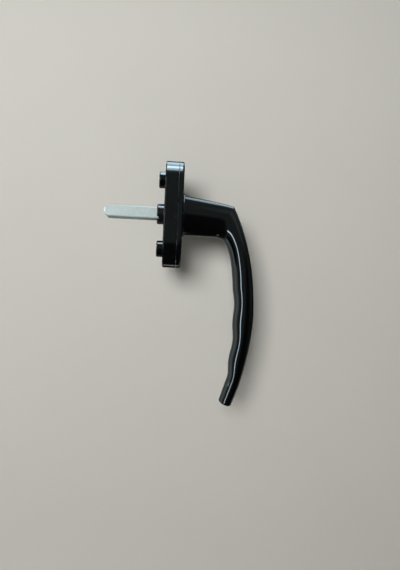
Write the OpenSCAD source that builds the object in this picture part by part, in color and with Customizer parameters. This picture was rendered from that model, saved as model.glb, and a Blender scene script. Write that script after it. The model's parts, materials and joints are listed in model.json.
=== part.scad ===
// Tilt turn window handle: rosette with two fixing lugs, turning cover, cranked lever and square spindle.
// +X points into the room, +Z up, and the grip hangs towards -Z in the closed position.
// The origin is the centre of the rosette's mounting face, on the spindle's axis.

/* [Rosette] */
// Length of the rosette, end to end
rosette_l = 65.5; // [64:0.5:72]
// Width of the rosette
rosette_w = 30; // [29:0.5:34]
// Thickness of the base body
base_h = 8; // [8:0.1:9]
// Thickness of the cover plate
cover_h = 2.9; // [2.8:0.1:3.4]
// Gap between the base body and the rim of the cover plate
seam = 0.2; // [0.15:0.05:0.3]
// Round on the cover plate's front edge
cover_round = 1.1; // [0.6:0.1:1.2]

/* [Fixing] */
// Distance between the two fixing lugs
lug_spacing = 43; // [43:0.5:44]
// Diameter of a fixing lug
lug_d = 10; // [9.5:0.1:12]
// How far a lug stands out behind the rosette
lug_h = 4; // [3:0.5:5]
// Hole for the M5 fixing screw
screw_hole_d = 5.3; // [5.2:0.1:5.6]
// Head of the countersunk fixing screw
screw_head_d = 9.6; // [9:0.1:10]
// Diameter of the centring collar
collar_d = 12.4; // [12.2:0.1:13]
// How far the centring collar stands out behind the rosette
collar_h = 4.4; // [4:0.2:6]

/* [Spindle] */
// Side of the square spindle
spindle_side = 7; // [7:0.1:7]
// How far the spindle reaches behind the rosette
spindle_reach = 36.5; // [30:0.5:45]

/* [Lever] */
// How far the grip stands out in front of the mounting face
lever_projection = 56.8; // [54:0.2:64]
// From the spindle's axis to the tip of the grip
lever_drop = 115; // [108:1:130]
// Diameter of the neck where it meets the rosette
neck_d = 24.2; // [22:0.2:25]
// Depth of the hollows between the finger ridges
ridge_depth = 1; // [0.4:0.1:1.4]
// Distance between two finger ridges
ridge_pitch = 23.1; // [22:0.1:25]

/* [Hidden] */
$fn = 96;
eps = 0.01;

// Colours of the finishes
gloss_black = [0.05, 0.055, 0.06];
soft_black = [0.10, 0.10, 0.11];
zinc = [0.70, 0.76, 0.76];
spring_steel = [0.45, 0.46, 0.48];
acetal = [0.88, 0.87, 0.83];

// Stack along the spindle's axis, from the mounting face to the room
collar_flange_h = 1;
stub_end = 1.3;
clip_x = 1.5;
clip_h = 0.7;
disc_spring_x = clip_x + clip_h;
disc_spring_h = 0.4;
retaining_washer_x = disc_spring_x + disc_spring_h;
retaining_washer_h = 0.4;
cam_x = retaining_washer_x + retaining_washer_h;
cam_h = 2.4;
shoulder_x = cam_x + cam_h;
thrust_gap = 0.1;
thrust_washer_h = 0.5;
cavity_h = shoulder_x + thrust_gap + thrust_washer_h;
hub_h = 1.5;
hub_top = base_h + hub_h;
bush_flange_h = 0.8;
rim_x = base_h + seam;
cover_top = rim_x + cover_h;
cover_skin = 1.4;
neck_ring_gap = 0.2;
neck_ring_x = cover_top + neck_ring_gap;
neck_ring_h = 0.8;
neck_x = neck_ring_x + neck_ring_h;

// Diameters round the spindle's axis
stub_d = 14;
stub_end_d = 12.4;
stub_flat = 11.2;
groove_d = 11.2;
bush_wall = 1.5;
bush_flange_d = 19.6;
running_gap = 0.05;
hub_d = 22;
hub_gap = 0.1;
guide_d = 25;
cavity_d = 25;
carrier_gap = 0.1;
collar_flange_d = 27;
collar_bore_d = 10.4;
cam_side = 15;
cam_corner_d = 20;
spring_t = 0.6;
spring_gap = 0.05;
spring_l = 18;
spindle_gap = 0.05;
spindle_depth = 22;
socket_end_gap = 0.3;
pin_d = 2.5;
pin_x = 10.4;
neck_ring_d = neck_d + 2;
snap_wire_d = 0.7;
snap_x = base_h + 0.8;

// Ribbed back of the base body
wall = 1.8;
rib = 1.4;
pocket_h = 5.4;
lug_wall_d = 13;

// Outline of the lever, closed position, before it is scaled to the driving sizes.
// Each station is [outer x, outer z, inner x, inner z, width].
neck_station = [33.6, 8.7, 27, -12.1, 20.9];
grip_stations = [
    [42.8, 6.6, 33.2, -12.3, 19.6],
    [45.9, 0, 37.2, -14.5, 19.4],
    [49.4, -9.4, 40.2, -19.6, 19.2],
    [52.6, -20.4, 42.1, -26.2, 18.9],
    [55.3, -34.6, 43.6, -37.6, 18.4],
    [56.5, -48.6, 44.1, -50, 17.7],
    [56.7, -61.6, 44.5, -61.6, 17],
    [55.4, -75.4, 44.0, -74.2, 16.2],
    [52.8, -89.2, 42.8, -86.6, 15],
    [49.2, -102.2, 41.2, -99.6, 13.6],
    [44.9, -113.4, 37.7, -110.9, 12.4]
];
corner = 2; // index of the elbow, where the outer line turns sharply and the inner line flows through
drawn_projection = 56.8;
drawn_drop = 115;
first_crest_z = -41;
ridge_start_z = -40;
ridge_end_z = -102;
ridge_fade = 7;
neck_square = 1;
grip_square = 0.88;
ring_points = 32;
rings_per_span = 5;
tip_steps = [[0.6, 0.975], [1.1, 0.92], [1.4, 0.84]];

// ---- Outline helpers ----

// Extrude a shape drawn in Y and Z along +X, from x0 over h
module along_x(x0, h) {
    translate([x0, 0, 0]) rotate([90, 0, 90]) linear_extrude(h) children();
}

// Turn a profile drawn as [radius, x] round the X axis
module round_x(angle = 360) {
    rotate([90, 0, 90]) rotate_extrude(angle = angle) children();
}

module disc_x(d, x0, h) {
    translate([x0, 0, 0]) rotate([0, 90, 0]) cylinder(d = d, h = h);
}

module stadium(l, w) {
    square([w, l - w], center = true);
    for (end = [-1, 1]) translate([0, end * (l - w) / 2]) circle(d = w);
}

// Stadium plate whose front edge has a round of radius r
module rounded_plate(l, w, x0, h, r) {
    for (end = [-1, 1]) translate([0, 0, end * (l - w) / 2]) round_x() edge_profile(w / 2, x0, h, r);
    translate([0, 0, -(l - w) / 2]) linear_extrude(l - w) rotate(-90) {
        edge_profile(w / 2, x0, h, r);
        mirror([1, 0]) edge_profile(w / 2, x0, h, r);
    }
}

module edge_profile(half_w, x0, h, r) {
    translate([0, x0]) square([half_w - r, h]);
    translate([0, x0]) square([half_w, h - r]);
    translate([half_w - r, x0 + h - r]) circle(r = r);
}

module at_lugs() {
    for (side = [-1, 1]) translate([0, 0, side * lug_spacing / 2]) children();
}

// ---- Rosette ----

module base_outline() {
    along_x(0.5, base_h - 0.5) stadium(rosette_l, rosette_w);
    along_x(0, 0.5) stadium(rosette_l - 0.6, rosette_w - 0.6);
}

module lug() {
    disc_x(lug_d, -lug_h + 0.5, lug_h - 0.5 + eps);
    translate([-lug_h, 0, 0]) rotate([0, 90, 0]) cylinder(d1 = lug_d - 1, d2 = lug_d, h = 0.5);
}

module screw_hole() {
    sink = (screw_head_d - screw_hole_d) / 2;
    disc_x(screw_hole_d, -lug_h - 1, lug_h + base_h + 2);
    translate([base_h - sink - 0.4, 0, 0]) rotate([0, 90, 0])
        cylinder(d1 = screw_hole_d, d2 = screw_head_d, h = sink);
    disc_x(screw_head_d, base_h - 0.4, 1);
}

// Hollow between the ribs at one end of the base body's back
module back_pocket() {
    difference() {
        along_x(-1, pocket_h + 1) stadium(rosette_l - 2 * wall, rosette_w - 2 * wall);
        disc_x(collar_flange_d + 2 * wall, -2, pocket_h + 3);
        at_lugs() disc_x(lug_wall_d, -2, pocket_h + 3);
        translate([-2, -rib / 2, -rosette_l / 2]) cube([pocket_h + 3, rib, rosette_l]);
        at_lugs() translate([-2, -rosette_w / 2, -rib / 2]) cube([pocket_h + 3, rosette_w, rib]);
    }
}

module base_body() {
    color(gloss_black) difference() {
        union() {
            base_outline();
            disc_x(hub_d, base_h - eps, hub_h + eps);
            at_lugs() lug();
        }
        at_lugs() screw_hole();
        back_pocket();
        disc_x(collar_flange_d, -1, 1 + collar_flange_h);
        disc_x(cavity_d, -1, 1 + cavity_h);
        disc_x(stub_d + 2 * running_gap + 2 * bush_wall, 0, hub_top + 1);
        disc_x(bush_flange_d, hub_top - bush_flange_h, bush_flange_h + 1);
        round_x() translate([hub_d / 2, snap_x]) circle(d = snap_wire_d + 2 * hub_gap, $fn = 48);
    }
}

module centring_collar() {
    color(soft_black) difference() {
        union() {
            disc_x(collar_flange_d, 0, collar_flange_h);
            disc_x(collar_d, -collar_h + 0.5, collar_h);
            translate([-collar_h, 0, 0]) rotate([0, 90, 0])
                cylinder(d1 = collar_d - 0.8, d2 = collar_d, h = 0.5);
        }
        disc_x(collar_bore_d, -collar_h - 1, collar_h + collar_flange_h + 2);
        for (side = [0, 1]) mirror([0, side, 0]) rotate([35, 0, 0])
            translate([-collar_h - 1, -collar_d, -0.8]) cube([2.1, collar_d - 3, 1.6]);
    }
}

module bearing_bush() {
    bore = stub_d + 2 * running_gap;
    color(acetal) difference() {
        union() {
            disc_x(bore + 2 * bush_wall, cavity_h, hub_top - cavity_h);
            disc_x(bush_flange_d, hub_top - bush_flange_h, bush_flange_h);
        }
        disc_x(bore, 0, hub_top + 1);
    }
}

module flat_washer(od, id, x0, h) {
    difference() {
        disc_x(od, x0, h);
        disc_x(id, x0 - 1, h + 2);
    }
}

module thrust_washer() {
    color(spring_steel) flat_washer(20, stub_d + 0.3, cavity_h - thrust_washer_h, thrust_washer_h);
}

// Ring in the base's cavity with a slot for each leaf spring and room behind it to bend
module spring_carrier() {
    seat_y = cam_side / 2;
    color(acetal) difference() {
        disc_x(cavity_d - 2 * carrier_gap, collar_flange_h + 0.1, cavity_h - thrust_washer_h - collar_flange_h - 0.2);
        disc_x(cam_corner_d + 0.8, 0, cavity_h + 1);
        for (side = [-1, 1]) {
            translate([0, side * (seat_y + spring_t / 2 + spring_gap), 0])
                cube([2 * cavity_h, spring_t + 2 * spring_gap, spring_l + 0.3], center = true);
            translate([0, side * (seat_y + 1.7), 0]) cube([2 * cavity_h, 3, 10], center = true);
        }
    }
}

module detent_spring(side) {
    y = side * (cam_side / 2 + spring_gap + spring_t / 2);
    color(spring_steel) translate([cam_x + cam_h / 2, y, 0]) cube([cam_h - 0.2, spring_t, spring_l], center = true);
}

module detent_spring_left() {
    detent_spring(-1);
}

module detent_spring_right() {
    detent_spring(1);
}

module cover_snap_ring() {
    gap_angle = 24;
    color(spring_steel) rotate([gap_angle / 2, 0, 0]) round_x(360 - gap_angle)
        translate([hub_d / 2, snap_x]) circle(d = snap_wire_d, $fn = 32);
}

module cover_plate() {
    hollow = cover_h - cover_skin;
    color(gloss_black) difference() {
        rounded_plate(rosette_l, rosette_w, rim_x, cover_h, cover_round);
        difference() {
            along_x(rim_x - 1, hollow + 1) stadium(rosette_l - 2 * wall, rosette_w - 2 * wall);
            disc_x(guide_d, rim_x - 2, hollow + 3);
        }
        disc_x(hub_d + 2 * hub_gap, rim_x - 1, hollow + 1);
        round_x() translate([hub_d / 2, snap_x]) circle(d = snap_wire_d + 2 * hub_gap, $fn = 48);
        disc_x(stub_d + 2, rim_x - 1, cover_h + 2);
    }
}

// ---- Lever ----

// Catmull-Rom value between b and c at t, with neighbours a and d
function blend4(a, b, c, d, t) =
    0.5 * (2 * b + (c - a) * t + (2 * a - 5 * b + 4 * c - d) * t * t + (3 * b - a - 3 * c + d) * t * t * t);

// Scale a drawn station to the driving sizes
function sized(s) =
    let (kx = lever_projection / drawn_projection, kz = lever_drop / drawn_drop)
    [s[0] * kx, s[1] * kz, s[2] * kx, s[3] * kz, s[4]];

root_station = [neck_x, neck_d / 2, neck_x, -neck_d / 2, neck_d];
stations = concat([root_station, sized(neck_station)], [for (s = grip_stations) sized(s)]);
spans = len(stations) - 1;

// Outer point of one station with the inner point and width of another
function outer_of(s, other) = [s[0], s[1], other[2], other[3], other[4]];

// The station at t of the way from station i to the next
function station_at(i, t) =
    let (b = stations[i], c = stations[i + 1])
    let (before = i > 0 ? stations[i - 1] : 2 * b - c)
    let (after = i + 1 < spans ? stations[i + 2] : 2 * c - b)
    let (a = i == corner ? outer_of(2 * b - c, before) : before)
    let (d = i + 1 == corner ? outer_of(2 * c - b, after) : after)
    blend4(a, b, c, d, t);

function square_at(i, t) = neck_square + (grip_square - neck_square) * min(1, (i + t) / corner);

// How deep the finger hollow is at height z on the inner side
function hollow_at(z) =
    let (fade_in = min(1, max(0, (ridge_start_z - z) / ridge_fade)))
    let (fade_out = min(1, max(0, (z - ridge_end_z) / ridge_fade)))
    ridge_depth * fade_in * fade_out * (0.5 - 0.5 * cos(360 * (z - first_crest_z) / ridge_pitch));

function bent(v, power) = sign(v) * pow(abs(v), power);

// One closed ring of points round a station; k squares it off, from 1 (round) down
function ring(s, k, scale = 1, shift = [0, 0, 0]) =
    let (mid = [(s[0] + s[2]) / 2, 0, (s[1] + s[3]) / 2])
    let (out = [(s[0] - s[2]) / 2, 0, (s[1] - s[3]) / 2])
    let (dip = hollow_at(s[3]) / norm(out))
    [for (j = [0:ring_points - 1])
        let (a = 360 * j / ring_points, u = bent(cos(a), k), v = bent(sin(a), k))
        mid + shift + scale * (out * (u < 0 ? u * (1 - dip) : u) + [0, s[4] / 2 * v, 0])];

body_part = [for (i = [0:spans - 1], j = [0:rings_per_span - 1])
    let (t = j / rings_per_span)
    ring(station_at(i, t), square_at(i, t))];
last_station = stations[spans];
before_last = station_at(spans - 1, 0.8);
tip_way = [last_station[0] - before_last[0], 0, last_station[1] - before_last[1]];
tip_part = [
    ring(last_station, grip_square),
    for (step = tip_steps) ring(last_station, grip_square, step[1], step[0] * tip_way / norm(tip_way))
];
lever_rings = concat(body_part, tip_part);

module lever_skin() {
    rows = len(lever_rings);
    n = ring_points;
    points = [for (r = lever_rings) each r];
    sides = [for (i = [0:rows - 2], j = [0:n - 1])
        let (p = i * n + j, q = i * n + (j + 1) % n)
        each [[p, q, p + n], [q, q + n, p + n]]];
    start_cap = [for (j = [n - 1:-1:0]) j];
    end_cap = [for (j = [0:n - 1]) (rows - 1) * n + j];
    polyhedron(points, concat(sides, [start_cap, end_cap]), convexity = 6);
}

module lever() {
    socket = spindle_side + 2 * spindle_gap;
    color(gloss_black) difference() {
        union() {
            lever_skin();
            disc_x(stub_d, shoulder_x, neck_x + 1 - shoulder_x);
            intersection() {
                disc_x(stub_end_d, stub_end, shoulder_x - stub_end + eps);
                translate([0, -stub_d / 2, -stub_flat / 2]) cube([shoulder_x + 1, stub_d, stub_flat]);
            }
        }
        translate([0, -socket / 2, -socket / 2]) cube([spindle_depth + socket_end_gap, socket, socket]);
        flat_washer(stub_d, groove_d, clip_x, clip_h);
        translate([pin_x, stub_d, 0]) rotate([90, 0, 0]) cylinder(d = pin_d, h = 2 * stub_d);
    }
}

module neck_ring() {
    color(soft_black) flat_washer(neck_ring_d, stub_d, neck_ring_x, neck_ring_h);
}

// Long outline of the spindle, drawn along x, with its end chamfered by cut
module spindle_outline(cut) {
    half = spindle_side / 2;
    back = -spindle_reach;
    front = spindle_depth;
    polygon([
        [back + cut, -half], [front, -half], [front, half],
        [back + cut, half], [back, half - cut], [back, -half + cut]
    ]);
}

module spindle() {
    corner = 0.45;
    half = spindle_side / 2;
    color(zinc) difference() {
        intersection() {
            rotate([90, 0, 0]) linear_extrude(spindle_side, center = true) spindle_outline(2.5);
            linear_extrude(spindle_side, center = true) spindle_outline(0.9);
            along_x(-spindle_reach, spindle_reach + spindle_depth) polygon([
                for (q = [0:3]) each [
                    rotated([half, -half + corner], q), rotated([half, half - corner], q)
                ]
            ]);
        }
        translate([pin_x, stub_d, 0]) rotate([90, 0, 0]) cylinder(d = pin_d, h = 2 * stub_d);
    }
}

// A point turned by q quarter turns
function rotated(p, q) = [p[0] * cos(90 * q) - p[1] * sin(90 * q), p[0] * sin(90 * q) + p[1] * cos(90 * q)];

module spindle_pin() {
    length = stub_d - 0.6;
    color(spring_steel) translate([pin_x, length / 2, 0]) rotate([90, 0, 0]) cylinder(d = pin_d - 0.04, h = length);
}

module detent_cam() {
    color(spring_steel) difference() {
        intersection() {
            translate([cam_x, -cam_side / 2, -cam_side / 2]) cube([cam_h, cam_side, cam_side]);
            disc_x(cam_corner_d, cam_x, cam_h);
        }
        intersection() {
            disc_x(stub_end_d, cam_x - 1, cam_h + 2);
            translate([0, -stub_d / 2, -stub_flat / 2]) cube([shoulder_x + 2, stub_d, stub_flat]);
        }
    }
}

module retaining_washer() {
    color(zinc) flat_washer(17, stub_end_d + 0.2, retaining_washer_x, retaining_washer_h);
}

// Slightly coned washer that takes up the end play
module disc_spring() {
    inner = stub_end_d / 2 + 0.15;
    outer = 8.4;
    t = 0.2;
    color(spring_steel) round_x() polygon([
        [inner, disc_spring_x], [inner, disc_spring_x + t],
        [outer, disc_spring_x + disc_spring_h], [outer, disc_spring_x + disc_spring_h - t]
    ]);
}

// Open ring that snaps into the stub's groove
module retaining_ring() {
    color(spring_steel) difference() {
        flat_washer(16, groove_d, clip_x, clip_h);
        translate([0, -2, -10]) cube([clip_x + 2, 4, 10]);
    }
}

base_body();
centring_collar();
bearing_bush();
thrust_washer();
spring_carrier();
detent_spring_left();
detent_spring_right();
cover_snap_ring();
cover_plate();
lever();
neck_ring();
spindle();
spindle_pin();
detent_cam();
retaining_washer();
disc_spring();
retaining_ring();
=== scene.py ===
import json
import math

import bmesh
import bpy
from mathutils import Matrix, Vector


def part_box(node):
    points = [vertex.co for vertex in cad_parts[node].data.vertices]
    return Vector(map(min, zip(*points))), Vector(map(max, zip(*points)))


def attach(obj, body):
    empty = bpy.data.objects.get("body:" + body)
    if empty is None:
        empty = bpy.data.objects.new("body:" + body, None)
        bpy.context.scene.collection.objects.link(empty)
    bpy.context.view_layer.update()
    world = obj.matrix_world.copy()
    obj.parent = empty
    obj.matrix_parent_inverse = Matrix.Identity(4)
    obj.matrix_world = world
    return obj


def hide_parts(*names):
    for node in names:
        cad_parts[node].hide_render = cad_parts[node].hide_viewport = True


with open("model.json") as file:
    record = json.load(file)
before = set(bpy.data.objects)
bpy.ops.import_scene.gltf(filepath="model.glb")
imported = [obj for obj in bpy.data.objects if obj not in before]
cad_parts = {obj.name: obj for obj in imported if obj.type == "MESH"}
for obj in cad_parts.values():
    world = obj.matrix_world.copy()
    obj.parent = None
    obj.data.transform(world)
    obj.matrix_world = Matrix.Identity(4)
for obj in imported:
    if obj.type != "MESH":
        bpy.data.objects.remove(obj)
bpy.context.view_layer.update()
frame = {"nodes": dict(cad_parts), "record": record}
nodes = frame["nodes"]
slotOf = {part["node"]: part["material_slot"] for part in frame["record"]["subparts"]}
mm = 0.001
print("frame loaded:", len(nodes), "nodes")


# Small helpers for shader and geometry trees

def feed(tree, socket, value):
    # a link where the value comes from another node, else a plain number or colour
    if isinstance(value, bpy.types.NodeSocket):
        tree.links.new(value, socket)
    else:
        socket.default_value = value


def addNode(tree, kind, settings=None, **inputs):
    node = tree.nodes.new(kind)
    for key, value in (settings or {}).items():
        setattr(node, key, value)
    for key, value in inputs.items():
        feed(tree, node.inputs[key.replace("_", " ")], value)
    return node


def mathNode(tree, operation, *values):
    node = tree.nodes.new("ShaderNodeMath")
    node.operation = operation
    for socket, value in zip(node.inputs, values):
        feed(tree, socket, value)
    return node.outputs[0]


def vectorMath(tree, operation, *vectors, **inputs):
    node = addNode(tree, "ShaderNodeVectorMath", {"operation": operation}, **inputs)
    for socket, vector in zip(node.inputs, vectors):
        feed(tree, socket, vector)
    return node.outputs


def mapRange(tree, value, fromLow, fromHigh, toLow=0.0, toHigh=1.0):
    node = addNode(tree, "ShaderNodeMapRange", Value=value, From_Min=fromLow, From_Max=fromHigh,
                   To_Min=toLow, To_Max=toHigh)
    return node.outputs["Result"]


def mixColour(tree, factor, first, second):
    # sockets 6 and 7 are the two colours, and 0 is the share of the second
    node = addNode(tree, "ShaderNodeMix", {"data_type": "RGBA"})
    for slot, value in ((0, factor), (6, first), (7, second)):
        feed(tree, node.inputs[slot], value)
    return node.outputs[2]


def solid(colour):
    return (*colour, 1.0)


def noise(tree, vector, scale, detail, roughness=0.5, distortion=0.0):
    node = addNode(tree, "ShaderNodeTexNoise", Vector=vector, Scale=scale, Detail=detail,
                   Roughness=roughness, Distortion=distortion)
    return node.outputs["Fac"]


def objectPlace(tree):
    return addNode(tree, "ShaderNodeTexCoord").outputs["Object"]


def newGroup(name, kind, inputs, outputs):
    group = bpy.data.node_groups.new(name, kind)
    for label, socketType, value in inputs:
        socket = group.interface.new_socket(label, in_out="INPUT", socket_type=socketType)
        if value is not None:
            socket.default_value = value
    for label, socketType in outputs:
        group.interface.new_socket(label, in_out="OUTPUT", socket_type=socketType)
    return group, group.nodes.new("NodeGroupInput").outputs, group.nodes.new("NodeGroupOutput").inputs


# Shared shader effects

def buildEdgeWear():
    # bright along sharp edges, broken up so that no edge wears evenly
    flat, sharp = 0.995, 0.90  # how much of the face's own normal is left in the rounded one
    patchScale, patchTop = 420.0, 0.75
    group, source, result = newGroup("edgeWear", "ShaderNodeTree", [
        ("Radius", "NodeSocketFloat", 0.3 * mm), ("Break Up", "NodeSocketFloat", 0.5),
    ], [("Mask", "NodeSocketFloat")])
    rounded = addNode(group, "ShaderNodeBevel", {"samples": 6}, Radius=source["Radius"])
    face = addNode(group, "ShaderNodeNewGeometry")
    left = vectorMath(group, "DOT_PRODUCT", rounded.outputs["Normal"], face.outputs["Normal"])["Value"]
    edge = mapRange(group, left, flat, sharp)
    cloud = noise(group, objectPlace(group), patchScale, 4.0, 0.6)
    patches = mapRange(group, cloud, source["Break Up"], patchTop)
    group.links.new(mathNode(group, "MULTIPLY", edge, patches), result["Mask"])
    return group


def buildDust():
    # fine specks, most of them on the sides that face up
    under, over, leastLying = -0.4, 0.9, 0.25  # from the underside to the top, and the underside's share
    group, source, result = newGroup("dustSpecks", "ShaderNodeTree", [
        ("Scale", "NodeSocketFloat", 500.0), ("Size", "NodeSocketFloat", 0.10),
        ("Share", "NodeSocketFloat", 0.12),
    ], [("Mask", "NodeSocketFloat")])
    coords = addNode(group, "ShaderNodeTexCoord").outputs
    cells = addNode(group, "ShaderNodeTexVoronoi", Vector=coords["Object"], Scale=source["Scale"])
    chosen = addNode(group, "ShaderNodeSeparateColor", Color=cells.outputs["Color"]).outputs["Red"]
    speck = mathNode(group, "LESS_THAN", cells.outputs["Distance"], source["Size"])
    kept = mathNode(group, "LESS_THAN", chosen, source["Share"])
    upward = addNode(group, "ShaderNodeSeparateXYZ", Vector=coords["Normal"]).outputs["Z"]
    lying = mapRange(group, upward, under, over, leastLying)
    specks = mathNode(group, "MULTIPLY", speck, kept)
    group.links.new(mathNode(group, "MULTIPLY", specks, lying), result["Mask"])
    return group


def buildOrangePeel():
    # the low waves that sprayed paint and moulded gloss set into, at two sizes
    finer, fineShare = 3.3, 0.25
    group, source, result = newGroup("orangePeel", "ShaderNodeTree", [
        ("Scale", "NodeSocketFloat", 700.0),
    ], [("Height", "NodeSocketFloat")])
    place = objectPlace(group)
    broad = noise(group, place, source["Scale"], 1.0)
    fine = noise(group, place, mathNode(group, "MULTIPLY", source["Scale"], finer), 2.0)
    low = mathNode(group, "MULTIPLY", fine, fineShare)
    group.links.new(mathNode(group, "ADD", broad, low), result["Height"])
    return group


def buildHandling():
    # faint smears where fingers wiped the gloss
    drawnOut = (1.0, 2.4, 0.5)
    group, source, result = newGroup("handlingSmears", "ShaderNodeTree", [
        ("Scale", "NodeSocketFloat", 60.0),
    ], [("Mask", "NodeSocketFloat")])
    stretched = addNode(group, "ShaderNodeMapping", Vector=objectPlace(group), Scale=drawnOut)
    broad = noise(group, stretched.outputs["Vector"], source["Scale"], 5.0, 0.65)
    group.links.new(mapRange(group, broad, 0.42, 0.72), result["Mask"])
    return group


def buildGrain():
    # moulded grain, or lines where one direction is stretched
    group, source, result = newGroup("surfaceGrain", "ShaderNodeTree", [
        ("Scale", "NodeSocketFloat", 1500.0), ("Stretch", "NodeSocketVector", (1.0, 1.0, 1.0)),
    ], [("Height", "NodeSocketFloat"), ("Mask", "NodeSocketFloat")])
    spread = vectorMath(group, "MULTIPLY", objectPlace(group), source["Stretch"])["Vector"]
    line = noise(group, spread, source["Scale"], 4.0, 0.6)
    group.links.new(line, result["Height"])
    group.links.new(mapRange(group, line, 0.35, 0.65), result["Mask"])
    return group


def buildMottle():
    # cloudy blotches of a plated or cast surface, at two sizes
    finer, fineShare = 4.0, 0.25
    group, source, result = newGroup("platingMottle", "ShaderNodeTree", [
        ("Scale", "NodeSocketFloat", 180.0),
    ], [("Mask", "NodeSocketFloat")])
    place = objectPlace(group)
    cloud = noise(group, place, source["Scale"], 4.0, 0.6, 0.4)
    crystal = addNode(group, "ShaderNodeTexVoronoi", Vector=place,
                      Scale=mathNode(group, "MULTIPLY", source["Scale"], finer))
    tone = addNode(group, "ShaderNodeSeparateColor", Color=crystal.outputs["Color"]).outputs["Green"]
    both = mathNode(group, "ADD", cloud, mathNode(group, "MULTIPLY", tone, fineShare))
    group.links.new(mapRange(group, both, 0.35, 0.90), result["Mask"])
    return group


effects = {
    "edgeWear": buildEdgeWear(), "dust": buildDust(), "peel": buildOrangePeel(),
    "handling": buildHandling(), "grain": buildGrain(), "mottle": buildMottle(),
}


def useEffect(tree, effect, **inputs):
    node = addNode(tree, "ShaderNodeGroup", {"node_tree": effects[effect]})
    for key, value in inputs.items():
        node.inputs[key].default_value = value
    return node.outputs


def startMaterial(name, look):
    material = bpy.data.materials.new(name)
    material.use_nodes = True
    tree = material.node_tree
    shader = tree.nodes["Principled BSDF"]
    shader.inputs["Metallic"].default_value = look.get("metallic", 0.0)
    shader.inputs["IOR"].default_value = 1.5
    material.diffuse_color = solid(look["colour"])
    return material, tree, shader


def addBump(tree, shader, height, strength, depth):
    bump = addNode(tree, "ShaderNodeBump", Strength=strength, Distance=depth * mm, Height=height)
    tree.links.new(bump.outputs["Normal"], shader.inputs["Normal"])


# Gloss black, as paint on the lever and as a moulding on the rosette
glossBlack = {
    "leverPaint": {"colour": (0.0010, 0.0011, 0.0012), "smear": (0.0024, 0.0026, 0.0028),
                   "worn": (0.035, 0.035, 0.036), "roughness": (0.07, 0.13), "peelScale": 620.0,
                   "peel": 0.07, "wear": 0.35},
    "rosetteGloss": {"colour": (0.0012, 0.0013, 0.0014), "smear": (0.0030, 0.0032, 0.0033),
                     "worn": (0.03, 0.031, 0.032), "roughness": (0.10, 0.19), "peelScale": 430.0,
                     "peel": 0.05, "wear": 0.14},
}
glossUse = {"smearScale": 70.0, "dust": {"Scale": 330.0, "Size": 0.085, "Share": 0.05}, "wornRough": 0.3,
            "peelDepth": 0.1}
dustColour = (0.30, 0.30, 0.29, 1.0)


def makeGlossBlack(name):
    look = glossBlack[name]
    material, tree, shader = startMaterial(name, look)
    smear = useEffect(tree, "handling", Scale=glossUse["smearScale"])["Mask"]
    wear = mathNode(tree, "MULTIPLY", useEffect(tree, "edgeWear")["Mask"], look["wear"])
    dust = useEffect(tree, "dust", **glossUse["dust"])["Mask"]
    base = mixColour(tree, smear, solid(look["colour"]), solid(look["smear"]))
    base = mixColour(tree, wear, base, solid(look["worn"]))
    tree.links.new(mixColour(tree, dust, base, dustColour), shader.inputs["Base Color"])
    rougher = mathNode(tree, "MULTIPLY", mathNode(tree, "MAXIMUM", wear, dust), glossUse["wornRough"])
    rough = mathNode(tree, "ADD", mapRange(tree, smear, 0.0, 1.0, *look["roughness"]), rougher)
    tree.links.new(rough, shader.inputs["Roughness"])
    waves = useEffect(tree, "peel", Scale=look["peelScale"])["Height"]
    addBump(tree, shader, waves, look["peel"], glossUse["peelDepth"])
    return material


# Satin black moulding of the collar and the ring under the neck
satinBlack = {"colour": (0.004, 0.0043, 0.0046), "scuffed": (0.012, 0.0125, 0.013),
              "roughness": (0.18, 0.30), "smearScale": 110.0, "wear": 0.5,
              "dust": {"Scale": 420.0, "Size": 0.08, "Share": 0.05},
              "grainScale": 1800.0, "grain": 0.12, "grainDepth": 0.05}


def makeSatinBlack():
    material, tree, shader = startMaterial("satinBlack", satinBlack)
    smear = useEffect(tree, "handling", Scale=satinBlack["smearScale"])["Mask"]
    wear = mathNode(tree, "MULTIPLY", useEffect(tree, "edgeWear")["Mask"], satinBlack["wear"])
    dust = useEffect(tree, "dust", **satinBlack["dust"])["Mask"]
    scuffs = mathNode(tree, "MAXIMUM", smear, wear)
    base = mixColour(tree, scuffs, solid(satinBlack["colour"]), solid(satinBlack["scuffed"]))
    tree.links.new(mixColour(tree, dust, base, dustColour), shader.inputs["Base Color"])
    tree.links.new(mapRange(tree, smear, 0.0, 1.0, *satinBlack["roughness"]), shader.inputs["Roughness"])
    grain = useEffect(tree, "grain", Scale=satinBlack["grainScale"])["Height"]
    addBump(tree, shader, grain, satinBlack["grain"], satinBlack["grainDepth"])
    return material


# Bare and plated metals
metals = {
    "zincPlating": {"colour": (0.55, 0.63, 0.63), "dull": (0.44, 0.51, 0.49), "metallic": 0.30,
                    "roughness": (0.30, 0.52), "mottle": 210.0, "grainScale": 900.0,
                    "stretch": (0.12, 1.0, 1.0), "grain": 0.20, "bright": (0.82, 0.86, 0.86)},
    "springSteel": {"colour": (0.42, 0.43, 0.45), "dull": (0.30, 0.31, 0.33), "metallic": 1.0,
                    "roughness": (0.22, 0.38), "mottle": 320.0, "grainScale": 2200.0,
                    "stretch": (1.0, 1.0, 0.08), "grain": 0.12, "bright": (0.62, 0.62, 0.62)},
    "camSteel": {"colour": (0.46, 0.45, 0.44), "dull": (0.30, 0.29, 0.28), "metallic": 1.0,
                 "roughness": (0.45, 0.65), "mottle": 700.0, "grainScale": 3000.0,
                 "stretch": (1.0, 1.0, 1.0), "grain": 0.35, "bright": (0.60, 0.59, 0.58)},
}
metalUse = {"wearRadius": 0.4, "grainDull": 0.25, "cloudSmooth": -0.6, "grainDepth": 0.05}


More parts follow.
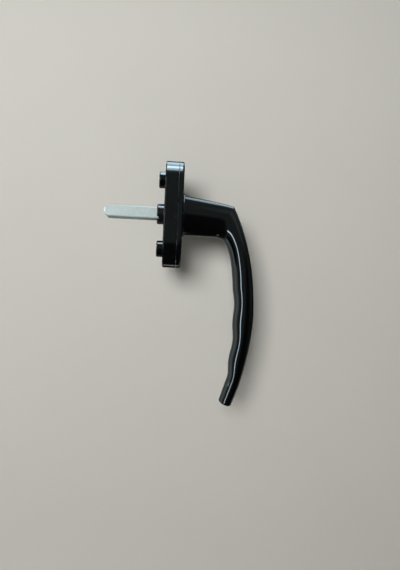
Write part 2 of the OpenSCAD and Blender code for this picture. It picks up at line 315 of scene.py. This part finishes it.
def makeMetal(name):
    look = metals[name]
    material, tree, shader = startMaterial(name, look)
    cloud = useEffect(tree, "mottle", Scale=look["mottle"])["Mask"]
    grain = useEffect(tree, "grain", Scale=look["grainScale"], Stretch=look["stretch"])
    wear = useEffect(tree, "edgeWear", Radius=metalUse["wearRadius"] * mm)["Mask"]
    base = mixColour(tree, cloud, solid(look["dull"]), solid(look["colour"]))
    lines = mathNode(tree, "MULTIPLY", grain["Mask"], metalUse["grainDull"])
    base = mixColour(tree, lines, base, solid(look["dull"]))
    tree.links.new(mixColour(tree, wear, base, solid(look["bright"])), shader.inputs["Base Color"])
    smoother = metalUse["cloudSmooth"]
    uneven = mathNode(tree, "ADD", mathNode(tree, "MULTIPLY", cloud, smoother), grain["Mask"])
    tree.links.new(mapRange(tree, uneven, smoother, 1.0, *look["roughness"]), shader.inputs["Roughness"])
    addBump(tree, shader, grain["Height"], look["grain"], metalUse["grainDepth"])
    return material


# Natural acetal of the bush and the spring carrier
acetal = {"colour": (0.80, 0.79, 0.74), "greased": (0.62, 0.58, 0.48), "roughness": (0.55, 0.36),
          "under": 0.15, "underReach": (1.2, 1.0, 0.8), "greaseScale": 140.0, "grainScale": 1600.0,
          "grain": 0.1, "grainDepth": 0.05}


def makeAcetal():
    material, tree, shader = startMaterial("acetal", acetal)
    shader.inputs["Subsurface Weight"].default_value = acetal["under"]
    shader.inputs["Subsurface Radius"].default_value = [reach * mm for reach in acetal["underReach"]]
    grease = useEffect(tree, "handling", Scale=acetal["greaseScale"])["Mask"]
    base = mixColour(tree, grease, solid(acetal["colour"]), solid(acetal["greased"]))
    tree.links.new(base, shader.inputs["Base Color"])
    tree.links.new(mapRange(tree, grease, 0.0, 1.0, *acetal["roughness"]), shader.inputs["Roughness"])
    grain = useEffect(tree, "grain", Scale=acetal["grainScale"])["Height"]
    addBump(tree, shader, grain, acetal["grain"], acetal["grainDepth"])
    return material


finishes = {
    "rosette_black": makeGlossBlack("rosetteGloss"), "lever_black": makeGlossBlack("leverPaint"),
    "collar_black": makeSatinBlack(), "zinc": makeMetal("zincPlating"),
    "spring_steel": makeMetal("springSteel"), "cam_steel": makeMetal("camSteel"),
    "acetal": makeAcetal(),
}
print("finishes made:", len(finishes))


# Pieces

def newPiece(name, mesh):
    piece = bpy.data.objects.new(name, mesh)
    bpy.context.scene.collection.objects.link(piece)
    return piece


def applied(piece):
    bpy.context.view_layer.update()
    evaluated = piece.evaluated_get(bpy.context.evaluated_depsgraph_get())
    mesh = bpy.data.meshes.new_from_object(evaluated)
    piece.modifiers.clear()
    piece.data = mesh
    return piece


def shadeByAngle(mesh, degrees):
    mesh.shade_smooth()
    mesh.set_sharp_from_angle(angle=math.radians(degrees))


def setFinish(piece, node):
    piece.data.materials.clear()
    piece.data.materials.append(finishes[slotOf[node]])


def settle(piece, node, body):
    setFinish(piece, node)
    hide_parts(node)
    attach(piece, body)


# Pieces whose CAD shape is right, given the small edge rounds of a real moulding or bar, in millimetres
roundedPieces = [
    {"name": "baseBody", "node": "base_body", "body": "rosette", "round": 0.10, "steps": 3},
    {"name": "centringCollar", "node": "centring_collar", "body": "rosette", "round": 0.14, "steps": 3},
    {"name": "coverPlate", "node": "cover_plate", "body": "cover", "round": 0.09, "steps": 3},
    {"name": "neckRing", "node": "neck_ring", "body": "lever", "round": 0.16, "steps": 3},
    {"name": "squareSpindle", "node": "spindle", "body": "lever", "round": 0.35, "steps": 4,
     "shadow": False},
]
# Angles in degrees between two faces that meet in an edge
edges = {"roundFrom": 32.0, "sharpFrom": 38.0, "flatWithin": 0.5}
weld = 0.002 * mm  # points closer than this become one


def roundedCopy(spec):
    mesh = nodes[spec["node"]].data.copy()
    sculpt = bmesh.new()
    sculpt.from_mesh(mesh)
    bmesh.ops.remove_doubles(sculpt, verts=sculpt.verts, dist=weld)
    bmesh.ops.dissolve_limit(sculpt, angle_limit=math.radians(edges["flatWithin"]), verts=sculpt.verts,
                             edges=sculpt.edges)
    bmesh.ops.recalc_face_normals(sculpt, faces=sculpt.faces)
    sculpt.to_mesh(mesh)
    sculpt.free()
    piece = newPiece(spec["name"], mesh)
    piece.visible_shadow = spec.get("shadow", True)  # so thin a bar throws none in soft light
    edge = piece.modifiers.new("edges", "BEVEL")
    edge.width = spec["round"] * mm
    edge.segments = spec["steps"]
    edge.limit_method = "ANGLE"
    edge.angle_limit = math.radians(edges["roundFrom"])
    edge.use_clamp_overlap = False
    applied(piece)
    shadeByAngle(piece.data, edges["sharpFrom"])
    level = piece.modifiers.new("level", "WEIGHTED_NORMAL")
    level.keep_sharp = True
    applied(piece)
    settle(piece, spec["node"], spec["body"])


for spec in roundedPieces:
    roundedCopy(spec)
print("rosette and spindle rounded:", len(roundedPieces))

# The lever's side view: outer x, outer z, inner x, inner z and width, in millimetres, from root to tip
lever = {
    "root": (12.2, 12.1, 12.2, -12.1, 24.2),
    "neck": (33.6, 8.7, 27.0, -12.1, 20.9),
    "elbow": (42.8, 6.6, 33.2, -12.3, 19.6),
    "grip": [
        (45.9, 0.0, 37.2, -14.5, 19.4), (49.4, -9.4, 40.2, -19.6, 19.2),
        (52.6, -20.4, 42.1, -26.2, 18.9), (55.3, -34.6, 43.6, -37.6, 18.4),
        (56.5, -48.6, 44.1, -50.0, 17.7), (56.7, -61.6, 44.5, -61.6, 17.0),
        (55.4, -75.4, 44.0, -74.2, 16.2), (52.8, -89.2, 42.8, -86.6, 15.0),
        (49.2, -102.2, 41.2, -99.6, 13.6), (44.9, -113.4, 37.7, -110.9, 12.4),
    ],
    "neckSquare": 1.0, "gripSquare": 0.88,  # the power that the ring's round is bent by, 1 is an ellipse
    "rowsPerSpan": 14, "ringPoints": 112, "tipRound": 1.4, "tipSteps": 8, "sharpFrom": 30.0,
    "ridgeDepth": 1.0, "ridgePitch": 23.1, "firstCrest": -41.0, "ridgeStart": -40.0,
    "ridgeEnd": -102.0, "ridgeFade": 7.0,
}
# The stub that goes through the rosette, with its two flats, groove, square socket and pin hole
stub = {"end": 1.3, "endRadius": 6.2, "flat": 5.6, "grooveFrom": 1.5, "grooveTo": 2.2,
        "grooveRadius": 5.6, "shoulder": 5.4, "radius": 7.0, "intoNeck": 1.0, "socket": 7.1,
        "socketEnd": 22.3, "pinRadius": 1.25, "pinAt": 10.4, "cutReach": 20, "segments": 96,
        "pinSegments": 48}


def blend4(a, b, c, d, t):
    # a smooth curve from b to c that leaves along a to c and arrives along b to d
    squared, cubed = 2 * a - 5 * b + 4 * c - d, 3 * b - a - 3 * c + d
    return 0.5 * (2 * b + (c - a) * t + squared * t ** 2 + cubed * t ** 3)


def leverRows():
    stations = [lever["root"], lever["neck"], lever["elbow"], *lever["grip"]]
    corner = 2  # the outer line turns sharply at the elbow, the inner line flows through
    last = len(stations) - 1
    rows = []
    for span in range(last):
        b, c = stations[span], stations[span + 1]
        before = stations[span - 1] if span > 0 else [2 * p - q for p, q in zip(b, c)]
        after = stations[span + 2] if span + 1 < last else [2 * q - p for p, q in zip(b, c)]
        for step in range(lever["rowsPerSpan"]):
            t = step / lever["rowsPerSpan"]
            row = []
            for k in range(5):
                a = 2 * b[k] - c[k] if k < 2 and span == corner else before[k]
                d = 2 * c[k] - b[k] if k < 2 and span + 1 == corner else after[k]
                row.append(blend4(a, b[k], c[k], d, t))
            change = lever["gripSquare"] - lever["neckSquare"]
            square = lever["neckSquare"] + change * min(1, (span + t) / corner)
            rows.append((row, square))
    rows.append((list(stations[last]), lever["gripSquare"]))
    return rows


def rowBones():
    bones = []  # middle, half the depth as a vector, half the width, squareness
    for (outX, outZ, inX, inZ, width), square in leverRows():
        middle = Vector(((outX + inX) / 2, 0, (outZ + inZ) / 2)) * mm
        depth = Vector(((outX - inX) / 2, 0, (outZ - inZ) / 2)) * mm
        bones.append([middle, depth, width / 2 * mm, square])
    tip, nearTip = bones[-1], bones[-2]
    onward = (tip[0] - nearTip[0]).normalized()
    for step in range(1, lever["tipSteps"] + 1):
        turn = math.pi / 2 * step / lever["tipSteps"]
        drawnIn = lever["tipRound"] * mm * (1 - math.cos(turn))
        middle = tip[0] + onward * lever["tipRound"] * mm * math.sin(turn)
        depth = tip[1] * (1 - drawnIn / tip[1].length)
        bones.append([middle, depth, tip[2] - drawnIn, tip[3]])
    bones.append([bones[-1][0], Vector((0, 0, 0)), 0.0, 1.0])
    bones.insert(0, [bones[0][0], Vector((0, 0, 0)), 0.0, 1.0])
    return bones


def boneMesh():
    bones = rowBones()
    mesh = bpy.data.meshes.new("leverBones")
    mesh.from_pydata([bone[0] for bone in bones], [(i, i + 1) for i in range(len(bones) - 1)], [])
    for name, kind in (("depth", "FLOAT_VECTOR"), ("halfWidth", "FLOAT"), ("square", "FLOAT")):
        mesh.attributes.new(name, kind, "POINT")
    for i, (_, depth, halfWidth, square) in enumerate(bones):
        mesh.attributes["depth"].data[i].vector = depth
        mesh.attributes["halfWidth"].data[i].value = halfWidth
        mesh.attributes["square"].data[i].value = square
    return mesh


def buildSkinTree():
    # lays a ring of points round every bone point, with finger hollows on the inner side
    # (skinOverBones sets the numbers given here from the lever's own settings)
    tree, source, result = newGroup("skinOverBones", "GeometryNodeTree", [
        ("Bones", "NodeSocketGeometry", None), ("Ring Points", "NodeSocketInt", 96),
        ("Ridge Depth", "NodeSocketFloat", 1.0 * mm), ("Ridge Pitch", "NodeSocketFloat", 23.0 * mm),
        ("First Crest", "NodeSocketFloat", -41.0 * mm), ("Ridge Start", "NodeSocketFloat", -40.0 * mm),
        ("Ridge End", "NodeSocketFloat", -102.0 * mm), ("Ridge Fade", "NodeSocketFloat", 7.0 * mm),
        ("Finish", "NodeSocketMaterial", None),
    ], [("Geometry", "NodeSocketGeometry")])
    tree.is_modifier = True
    size = addNode(tree, "GeometryNodeAttributeDomainSize", Geometry=source["Bones"])
    across = mathNode(tree, "ADD", source["Ring Points"], 1)
    rowCount = size.outputs["Point Count"]
    grid = addNode(tree, "GeometryNodeMeshGrid", Vertices_X=rowCount, Vertices_Y=across)
    index = addNode(tree, "GeometryNodeInputIndex").outputs[0]
    row = mathNode(tree, "FLOOR", mathNode(tree, "DIVIDE", mathNode(tree, "ADD", index, 0.5), across))
    column = mathNode(tree, "SUBTRACT", index, mathNode(tree, "MULTIPLY", row, across))

    def boneValue(kind, field):
        sample = addNode(tree, "GeometryNodeSampleIndex", {"data_type": kind},
                         Geometry=source["Bones"], Index=row)
        tree.links.new(field, sample.inputs["Value"])
        return sample.outputs["Value"]

    def named(kind, name):
        reader = addNode(tree, "GeometryNodeInputNamedAttribute", {"data_type": kind}, Name=name)
        return reader.outputs["Attribute"]

    middle = boneValue("FLOAT_VECTOR", addNode(tree, "GeometryNodeInputPosition").outputs[0])
    depth = boneValue("FLOAT_VECTOR", named("FLOAT_VECTOR", "depth"))
    halfWidth = boneValue("FLOAT", named("FLOAT", "halfWidth"))
    square = boneValue("FLOAT", named("FLOAT", "square"))

    def divided(first, second, by):
        return mathNode(tree, "DIVIDE", mathNode(tree, "SUBTRACT", first, second), by)

    fullTurn = 2 * math.pi
    angle = mathNode(tree, "MULTIPLY", mathNode(tree, "DIVIDE", column, source["Ring Points"]), fullTurn)

    def bent(value):
        size = mathNode(tree, "POWER", mathNode(tree, "ABSOLUTE", value), square)
        return mathNode(tree, "MULTIPLY", mathNode(tree, "SIGN", value), size)

    outward = bent(mathNode(tree, "COSINE", angle))
    sideways = bent(mathNode(tree, "SINE", angle))

    inner = vectorMath(tree, "SUBTRACT", middle, depth)["Vector"]
    height = addNode(tree, "ShaderNodeSeparateXYZ", Vector=inner).outputs["Z"]
    fadeIn = divided(source["Ridge Start"], height, source["Ridge Fade"])
    fadeOut = divided(height, source["Ridge End"], source["Ridge Fade"])
    fade = mathNode(tree, "MULTIPLY", mapRange(tree, fadeIn, 0.0, 1.0), mapRange(tree, fadeOut, 0.0, 1.0))
    turns = divided(height, source["First Crest"], source["Ridge Pitch"])
    wave = mathNode(tree, "COSINE", mathNode(tree, "MULTIPLY", turns, fullTurn))
    fromCrest = mathNode(tree, "SUBTRACT", 0.5, mathNode(tree, "MULTIPLY", wave, 0.5))
    hollow = mathNode(tree, "MULTIPLY", fromCrest, fade)
    reach = vectorMath(tree, "LENGTH", depth)["Value"]
    leastReach = 1.0 * mm
    dip = mathNode(tree, "DIVIDE", mathNode(tree, "MULTIPLY", hollow, source["Ridge Depth"]),
                   mathNode(tree, "MAXIMUM", reach, leastReach))
    isInner = mathNode(tree, "LESS_THAN", outward, 0.0)
    kept = mathNode(tree, "SUBTRACT", 1.0, mathNode(tree, "MULTIPLY", dip, isInner))
    along = vectorMath(tree, "SCALE", depth, Scale=mathNode(tree, "MULTIPLY", outward, kept))["Vector"]
    aside = addNode(tree, "ShaderNodeCombineXYZ", Y=mathNode(tree, "MULTIPLY", halfWidth, sideways))
    offset = vectorMath(tree, "ADD", along, aside.outputs["Vector"])["Vector"]
    place = vectorMath(tree, "ADD", middle, offset)["Vector"]

    samePoint = 0.001 * mm
    moved = addNode(tree, "GeometryNodeSetPosition", Geometry=grid.outputs["Mesh"], Position=place)
    closed = addNode(tree, "GeometryNodeMergeByDistance", Geometry=moved.outputs[0], Distance=samePoint)
    real = addNode(tree, "GeometryNodeRealizeInstances", Geometry=closed.outputs[0])
    finished = addNode(tree, "GeometryNodeSetMaterial", Geometry=real.outputs[0],
                       Material=source["Finish"])
    tree.links.new(finished.outputs[0], result["Geometry"])
    return tree


def setInput(modifier, label, value):
    for item in modifier.node_group.interface.items_tree:
        if item.item_type == "SOCKET" and item.in_out == "INPUT" and item.name == label:
            modifier[item.identifier] = value


def skinOverBones(piece):
    skin = piece.modifiers.new("skin", "NODES")
    skin.node_group = buildSkinTree()
    setInput(skin, "Ring Points", lever["ringPoints"])
    ridgeInputs = {"Ridge Depth": "ridgeDepth", "Ridge Pitch": "ridgePitch", "First Crest": "firstCrest",
                   "Ridge Start": "ridgeStart", "Ridge End": "ridgeEnd", "Ridge Fade": "ridgeFade"}
    for label, key in ridgeInputs.items():
        setInput(skin, label, lever[key] * mm)
    setInput(skin, "Finish", finishes["lever_black"])
    return applied(piece)


def turnedMesh(name, profile, segments):
    # a closed profile of (x, radius) turned round the X axis
    sculpt = bmesh.new()
    points = [sculpt.verts.new((x * mm, 0, radius * mm)) for x, radius in profile]
    lines = [sculpt.edges.new(pair) for pair in zip(points, points[1:])]
    bmesh.ops.spin(sculpt, geom=points + lines, cent=(0, 0, 0), axis=(1, 0, 0), angle=2 * math.pi,
                   steps=segments, use_merge=True)
    bmesh.ops.remove_doubles(sculpt, verts=sculpt.verts, dist=weld)
    bmesh.ops.recalc_face_normals(sculpt, faces=sculpt.faces)
    mesh = bpy.data.meshes.new(name)
    sculpt.to_mesh(mesh)
    sculpt.free()
    return mesh


def boxMesh(name, low, high):
    sculpt = bmesh.new()
    bmesh.ops.create_cube(sculpt, size=1.0)
    for vertex in sculpt.verts:
        vertex.co = Vector([(lo if c < 0 else hi) * mm for c, lo, hi in zip(vertex.co, low, high)])
    mesh = bpy.data.meshes.new(name)
    sculpt.to_mesh(mesh)
    sculpt.free()
    return mesh


def carve(piece, tool, operation):
    cut = piece.modifiers.new(operation.lower(), "BOOLEAN")
    cut.object = tool
    cut.operation = operation
    cut.solver = "EXACT"
    applied(piece)
    bpy.data.objects.remove(tool)


def makeLever():
    piece = skinOverBones(newPiece("leverCasting", boneMesh()))
    sculpt = bmesh.new()
    sculpt.from_mesh(piece.data)
    bmesh.ops.recalc_face_normals(sculpt, faces=sculpt.faces)
    sculpt.to_mesh(piece.data)
    sculpt.free()
    neckStart, reach = lever["root"][0] + stub["intoNeck"], stub["cutReach"]
    profile = [(stub["end"], 0), (stub["end"], stub["endRadius"]),
               (stub["grooveFrom"], stub["endRadius"]), (stub["grooveFrom"], stub["grooveRadius"]),
               (stub["grooveTo"], stub["grooveRadius"]), (stub["grooveTo"], stub["endRadius"]),
               (stub["shoulder"], stub["endRadius"]), (stub["shoulder"], stub["radius"]),
               (neckStart, stub["radius"]), (neckStart, 0)]
    turned = newPiece("leverStub", turnedMesh("leverStub", profile, stub["segments"]))
    for side in (-1, 1):
        low, high = sorted((side * stub["flat"], side * 2 * stub["radius"]))
        flat = boxMesh("flat", (0, -reach, low), (stub["shoulder"], reach, high))
        carve(turned, newPiece("flat", flat), "DIFFERENCE")
    carve(piece, turned, "UNION")
    half = stub["socket"] / 2
    socket = boxMesh("socket", (0, -half, -half), (stub["socketEnd"], half, half))
    carve(piece, newPiece("socket", socket), "DIFFERENCE")
    pinProfile = [(-reach, 0), (-reach, stub["pinRadius"]), (reach, stub["pinRadius"]), (reach, 0)]
    hole = turnedMesh("pinHole", pinProfile, stub["pinSegments"])
    hole.transform(Matrix.Translation((stub["pinAt"] * mm, 0, 0)) @ Matrix.Rotation(math.pi / 2, 4, "Z"))
    carve(piece, newPiece("pinHole", hole), "DIFFERENCE")
    shadeByAngle(piece.data, lever["sharpFrom"])
    settle(piece, "lever", "lever")


makeLever()
print("lever made")

for name, node in nodes.items():
    if not node.hide_render:
        setFinish(node, name)
print("inner pieces finished")


# Backdrop: a pale wall behind the handle that sweeps down into a floor, in metres but for the gap.
# Its colour darkens downwards as painted shade for the light's falloff, and the far floor glows a little
# to the camera as painted light, so that it looks pale from there.
backdrop = {"gap": 1.0, "top": 0.9, "floor": -0.42, "sweep": 0.22, "front": -2.4, "halfWidth": 1.6,
            "steps": 24, "sharpFrom": 40.0, "roughness": 0.9, "specular": 0.1,
            "colour": (0.62, 0.61, 0.575), "low": (0.50, 0.49, 0.46), "paintedShadeFrom": 0.14, "paintedShadeTo": -0.22,
            "cloudScale": 9.0, "cloud": 0.06, "glow": 0.5, "glowFrom": -0.28, "glowTo": -0.40}


def makeBackdrop():
    reach = max(abs(c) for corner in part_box("cover_plate") for c in corner[1:])
    wall = reach + backdrop["gap"] * mm  # the turned cover stays clear of it
    sweep, floor = backdrop["sweep"], backdrop["floor"]
    line = [(wall, backdrop["top"])]
    for step in range(backdrop["steps"] + 1):
        turn = math.pi / 2 * step / backdrop["steps"]
        line.append((wall - sweep + sweep * math.cos(turn), floor + sweep - sweep * math.sin(turn)))
    line.append((backdrop["front"], floor))
    half = backdrop["halfWidth"]
    points = [(x, y, z) for y, z in line for x in (-half, half)]
    faces = [(2 * i, 2 * i + 2, 2 * i + 3, 2 * i + 1) for i in range(len(line) - 1)]
    mesh = bpy.data.meshes.new("backdrop")
    mesh.from_pydata(points, [], faces)
    shadeByAngle(mesh, backdrop["sharpFrom"])
    sheet = newPiece("backdrop", mesh)

    material = bpy.data.materials.new("paleBackdrop")
    material.use_nodes = True
    tree = material.node_tree
    shader = tree.nodes["Principled BSDF"]
    shader.inputs["Roughness"].default_value = backdrop["roughness"]
    shader.inputs["Specular IOR Level"].default_value = backdrop["specular"]
    place = objectPlace(tree)
    height = addNode(tree, "ShaderNodeSeparateXYZ", Vector=place).outputs["Z"]
    # painted shade: the wall's colour darkens downwards from the pale colour to the low one, standing in
    # for light falling off
    low = mapRange(tree, height, backdrop["paintedShadeFrom"], backdrop["paintedShadeTo"])
    cloud = noise(tree, place, backdrop["cloudScale"], 3.0)
    cloud = mapRange(tree, cloud, 0.3, 0.7, -backdrop["cloud"], backdrop["cloud"])
    low = mathNode(tree, "ADD", low, cloud)
    tree.links.new(mixColour(tree, low, solid(backdrop["colour"]), solid(backdrop["low"])),
                   shader.inputs["Base Color"])
    behind = addNode(tree, "ShaderNodeNewGeometry").outputs["Backfacing"]
    clear = addNode(tree, "ShaderNodeBsdfTransparent")
    either = addNode(tree, "ShaderNodeMixShader", Fac=behind)
    tree.links.new(shader.outputs[0], either.inputs[1])
    tree.links.new(clear.outputs[0], either.inputs[2])
    tree.links.new(either.outputs[0], tree.nodes["Material Output"].inputs["Surface"])
    # painted light: the far floor glows in the low colour, to camera rays only
    far = mapRange(tree, height, backdrop["glowFrom"], backdrop["glowTo"], 0.0, backdrop["glow"])
    seen = addNode(tree, "ShaderNodeLightPath").outputs["Is Camera Ray"]
    shader.inputs["Emission Strength"].default_value = 1.0
    glowing = mixColour(tree, mathNode(tree, "MULTIPLY", far, seen), solid((0.0, 0.0, 0.0)),
                        solid(backdrop["low"]))
    tree.links.new(glowing, shader.inputs["Emission Color"])
    mesh.materials.append(material)
    sheet.visible_glossy = False  # the gloss mirrors the room and the lamps instead
    sheet.visible_shadow = False


makeBackdrop()

# Soft studio light: the spot each lamp is aimed at, its direction and distance from there, its size across
# and up, and its power in watts. The key and the left panel light the surfaces and never show in the gloss.
# The others are the bright windows that the gloss mirrors, and they light nothing else.
lights = {
    "key": {"aim": (0.03, 0.0, -0.04), "towards": (-0.30, -0.94, 0.16), "distance": 0.9,
            "size": (0.40, 0.40), "power": 7.6, "colour": (0.985, 0.985, 0.975), "mirrored": False},
    "leftPanel": {"aim": (0.0, 0.0, 0.0), "towards": (-0.9, -0.40, 0.40), "distance": 0.8,
                  "size": (0.45, 0.8), "power": 0.4, "colour": (0.88, 0.94, 1.0), "mirrored": False},
    "windowBehind": {"aim": (0.005, -0.010, 0.028), "towards": (-0.025, 0.267, 0.963), "distance": 0.5,
                     "size": (0.10, 0.32), "power": 0.56, "colour": (0.60, 0.84, 1.0), "mirrored": True},
    "neckWindow": {"aim": (0.025, -0.008, 0.008), "towards": (0.235, 0.404, 0.884), "distance": 0.5,
                   "size": (0.165, 0.29), "power": 0.42, "colour": (0.68, 0.86, 1.0), "mirrored": True},
    "windowAbove": {"aim": (0.005, -0.010, 0.028), "towards": (-0.01, -0.172, 0.985), "distance": 0.5,
                    "size": (0.11, 0.12), "power": 0.80, "colour": (0.66, 0.88, 1.0), "mirrored": True},
    "windowFront": {"aim": (0.005, -0.010, 0.028), "towards": (-0.01, -0.397, 0.918), "distance": 0.5,
                    "size": (0.11, 0.11), "power": 0.34, "colour": (0.64, 0.86, 1.0), "mirrored": True},
    "underGlow": {"aim": (0.005, -0.008, -0.03), "towards": (-0.03, 0.73, -0.68), "distance": 0.5,
                  "size": (0.07, 0.08), "power": 0.02, "colour": (1.0, 0.97, 0.94), "mirrored": True},
    "endGlow": {"aim": (-0.036, 0.0, 0.0), "towards": (-0.95, 0.19, 0.24), "distance": 0.5,
                "size": (0.20, 0.20), "power": 0.9, "colour": (1.0, 1.0, 0.98), "mirrored": True},
    "gripStrip": {"aim": (0.05, -0.01, -0.06), "towards": (-0.70, -0.71, 0.0), "distance": 0.9,
                  "size": (0.19, 0.9), "power": 7.2, "colour": (0.72, 0.87, 1.0), "mirrored": True},
}


def makeLights():
    for name, spec in lights.items():
        lamp = bpy.data.lights.new(name, "AREA")
        lamp.shape = "RECTANGLE"
        lamp.size, lamp.size_y = spec["size"]
        lamp.energy = spec["power"]
        lamp.color = spec["colour"]
        holder = bpy.data.objects.new(name, lamp)
        towards = Vector(spec["towards"]).normalized()
        holder.location = Vector(spec["aim"]) + towards * spec["distance"]
        holder.rotation_euler = towards.to_track_quat("Z", "Y").to_euler()
        holder.visible_camera = False
        holder.visible_glossy = spec["mirrored"]
        holder.visible_diffuse = not spec["mirrored"]
        bpy.context.scene.collection.objects.link(holder)


makeLights()

# The room that the gloss mirrors is mostly dark in front and below. Each zone fades in where the product
# of a direction with "along" goes from "start" to "full", and a later zone covers an earlier one. "fill"
# is the room's light on dull surfaces, and "seen" is its colour to the camera.
room = {
    "dark": (0.010, 0.010, 0.011),
    "zones": [
        {"along": (-0.7, 0.0, 1.0), "start": -0.24, "full": -0.06, "colour": (0.16, 0.195, 0.19)},
        {"along": (-0.83, 0.56, 0.0), "start": 0.86, "full": 0.93, "colour": (0.62, 0.72, 0.71)},
        {"along": (-0.40, 0.92, 0.0), "start": 0.90, "full": 0.99, "colour": (0.16, 0.18, 0.19)},
        {"along": (0.95, -0.10, 0.25), "start": 0.80, "full": 0.98, "colour": (0.09, 0.10, 0.10)},
        {"along": (0.60, -0.53, 0.60), "start": 0.90, "full": 0.97, "colour": (0.42, 0.45, 0.47)},
        {"along": (0.57, 0.62, -0.53), "start": 0.87, "full": 0.95, "colour": (0.36, 0.36, 0.35)},
    ],
    "fill": (0.034, 0.025, 0.015),
    "seen": (0.52, 0.515, 0.49),
}


def makeRoom():
    world = bpy.data.worlds.new("room")
    bpy.context.scene.world = world
    world.use_nodes = True
    tree = world.node_tree
    way = addNode(tree, "ShaderNodeTexCoord").outputs["Generated"]
    around = solid(room["dark"])
    for zone in room["zones"]:
        product = vectorMath(tree, "DOT_PRODUCT", way, zone["along"])["Value"]
        share = mapRange(tree, product, zone["start"], zone["full"])
        around = mixColour(tree, share, around, solid(zone["colour"]))
    path = addNode(tree, "ShaderNodeLightPath").outputs
    around = mixColour(tree, path["Is Diffuse Ray"], around, solid(room["fill"]))
    sky = mixColour(tree, path["Is Camera Ray"], around, solid(room["seen"]))
    tree.links.new(sky, tree.nodes["Background"].inputs["Color"])


makeRoom()
bpy.context.scene.view_settings.view_transform = "Standard"
print("backdrop, lights and room made")

# Camera: how the handle is turned to it in degrees, its distance and where the origin lies off its axis,
# with the lens, in millimetres
shot = {"turn": 4.0, "tilt": -4.5, "roll": 2.2, "distance": 247.5, "right": -21.9, "up": 43.5,
        "lens": 25.39, "sensor": 36.0, "nearest": 10.0}


def makeCamera():
    roll, tilt, turn = (Matrix.Rotation(math.radians(shot[key]), 3, axis)
                        for key, axis in (("roll", "Y"), ("tilt", "X"), ("turn", "Z")))
    turned = (roll @ tilt @ turn).transposed()
    lens = bpy.data.cameras.new("camera")
    lens.lens = shot["lens"]
    lens.sensor_width = shot["sensor"]
    lens.clip_start = shot["nearest"] * mm
    camera = bpy.data.objects.new("camera", lens)
    side, forward, up = turned.col[0], turned.col[1], turned.col[2]
    place = -(side * shot["right"] + forward * shot["distance"] + up * shot["up"]) * mm
    camera.matrix_world = Matrix((
        (side.x, up.x, -forward.x, place.x), (side.y, up.y, -forward.y, place.y),
        (side.z, up.z, -forward.z, place.z), (0, 0, 0, 1)))
    bpy.context.scene.collection.objects.link(camera)
    bpy.context.scene.camera = camera


makeCamera()
